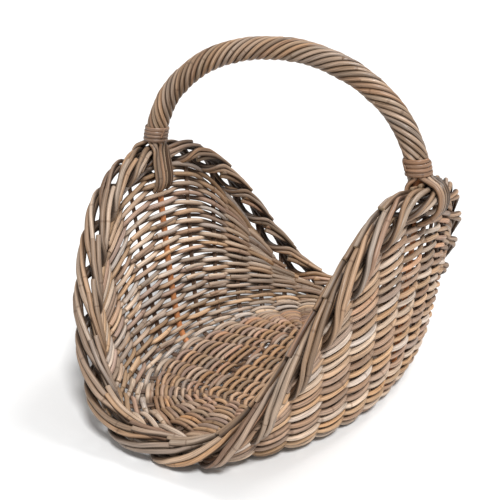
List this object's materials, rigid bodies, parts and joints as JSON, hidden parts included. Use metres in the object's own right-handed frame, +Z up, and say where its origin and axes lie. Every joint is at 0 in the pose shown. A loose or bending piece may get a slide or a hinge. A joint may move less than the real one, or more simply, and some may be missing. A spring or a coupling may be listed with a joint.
{
  "type": "egg collection basket",
  "caption": "Oval woven cane basket with two high curved sides, two low open ends, a thick wrapped border and a fixed twisted arch handle.",
  "frame": {"origin": "middle of the footprint, on the surface that the basket stands on", "axes": "+Z up, +Y along the basket from one low end to the other, X across it between the two high sides, in the plane of the handle"},
  "size_m": [0.4052, 0.5096, 0.408],
  "materials": {
    "weaving_cane": "natural weathered rattan, matt",
    "border_cane": "natural weathered rattan, matt",
    "handle_cane": "natural weathered rattan, slightly worn smooth",
    "rib_cane": "dark unpeeled cane, matt",
    "bow_rod": "red-brown peeled rod, satin"
  },
  "bodies": {
    "root": {"back_rib_1": "rib_cane", "back_rib_2": "rib_cane", "back_rib_3": "rib_cane", "back_rib_4": "rib_cane", "back_rib_5": "rib_cane", "back_rib_6": "rib_cane", "back_rib_7": "rib_cane", "back_rib_8": "rib_cane", "base_middle_stick": "rib_cane", "base_weave": "weaving_cane", "border_strand_1": "border_cane", "border_strand_2": "border_cane", "border_strand_3": "border_cane", "cross_rib_01": "rib_cane", "cross_rib_02": "rib_cane", "cross_rib_03": "rib_cane", "cross_rib_04": "rib_cane", "cross_rib_05": "rib_cane", "cross_rib_06": "rib_cane", "front_rib_1": "rib_cane", "front_rib_2": "rib_cane", "front_rib_3": "rib_cane", "front_rib_4": "rib_cane", "front_rib_5": "rib_cane", "front_rib_6": "rib_cane", "front_rib_7": "rib_cane", "front_rib_8": "rib_cane", "handle_binding_left": "handle_cane", "handle_binding_right": "handle_cane", "handle_bow": "bow_rod", "handle_strand_01": "handle_cane", "handle_strand_02": "handle_cane", "handle_strand_03": "handle_cane", "handle_strand_04": "handle_cane", "handle_strand_05": "handle_cane", "handle_strand_06": "handle_cane", "handle_strand_07": "handle_cane", "handle_strand_08": "handle_cane", "handle_strand_09": "handle_cane", "handle_strand_10": "handle_cane", "left_band_1": "weaving_cane", "left_band_2": "weaving_cane", "left_band_3": "weaving_cane", "left_band_4": "weaving_cane", "left_band_5": "weaving_cane", "left_band_6": "weaving_cane", "left_band_7": "weaving_cane", "right_band_1": "weaving_cane", "right_band_2": "weaving_cane", "right_band_3": "weaving_cane", "right_band_4": "weaving_cane", "right_band_5": "weaving_cane", "right_band_6": "weaving_cane", "right_band_7": "weaving_cane", "round_band_2": "weaving_cane", "upsett_band": "weaving_cane"}
  },
  "joints": []
}
